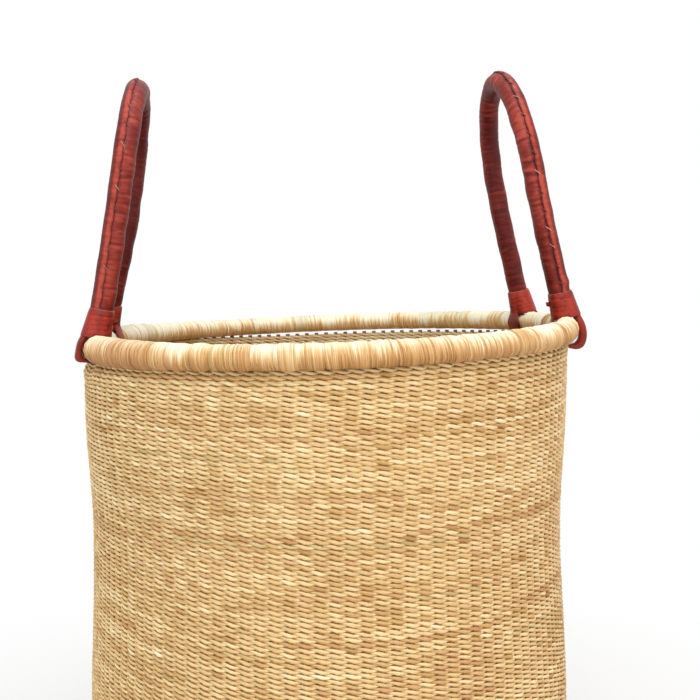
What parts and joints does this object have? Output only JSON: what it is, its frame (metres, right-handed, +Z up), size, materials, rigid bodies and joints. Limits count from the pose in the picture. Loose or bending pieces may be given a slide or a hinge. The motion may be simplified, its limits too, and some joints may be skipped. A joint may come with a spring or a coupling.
{
  "type": "woven straw laundry basket",
  "caption": "Tall round basket of twined straw with a thick wrapped rim and leather-covered carrying handles that swing on the rim.",
  "frame": {"origin": "centre of the base's flat underside", "axes": "+Z up out of the mouth; +X towards the right-hand handle; -Y is the front"},
  "size_m": [0.3986, 0.398, 0.7195],
  "materials": {
    "straw": "woven straw, matt with a faint sheen",
    "pale_straw": "wrapped straw strands, slightly glossy",
    "core_straw": "bundled straw, matt",
    "leather": "red-brown dyed leather, semi-gloss",
    "bright_leather": "bright red-brown dyed leather strip, semi-gloss"
  },
  "bodies": {
    "basket": {"base_weave": "straw", "wall_weave": "straw", "rim_core": "core_straw", "rim_wrap": "pale_straw"},
    "right_handle": {"right_handle_core": "core_straw", "right_handle_cover": "leather", "right_front_strap": "leather", "right_rear_strap": "leather", "right_front_binding": "bright_leather", "right_rear_binding": "bright_leather"},
    "left_handle": {"left_handle_core": "core_straw", "left_handle_cover": "leather", "left_front_strap": "leather", "left_rear_strap": "leather", "left_front_binding": "bright_leather", "left_rear_binding": "bright_leather"}
  },
  "joints": [
    {"name": "right_handle_swing", "type": "hinge", "parent": "basket", "child": "right_handle", "pos_m": [0.1856, 0, 0.50861], "axis": [0, 1, 0], "range_deg": [-25, 35]},
    {"name": "left_handle_swing", "type": "hinge", "parent": "basket", "child": "left_handle", "pos_m": [-0.1832, 0, 0.49379], "axis": [0, -1, 0], "range_deg": [-25, 35]}
  ]
}
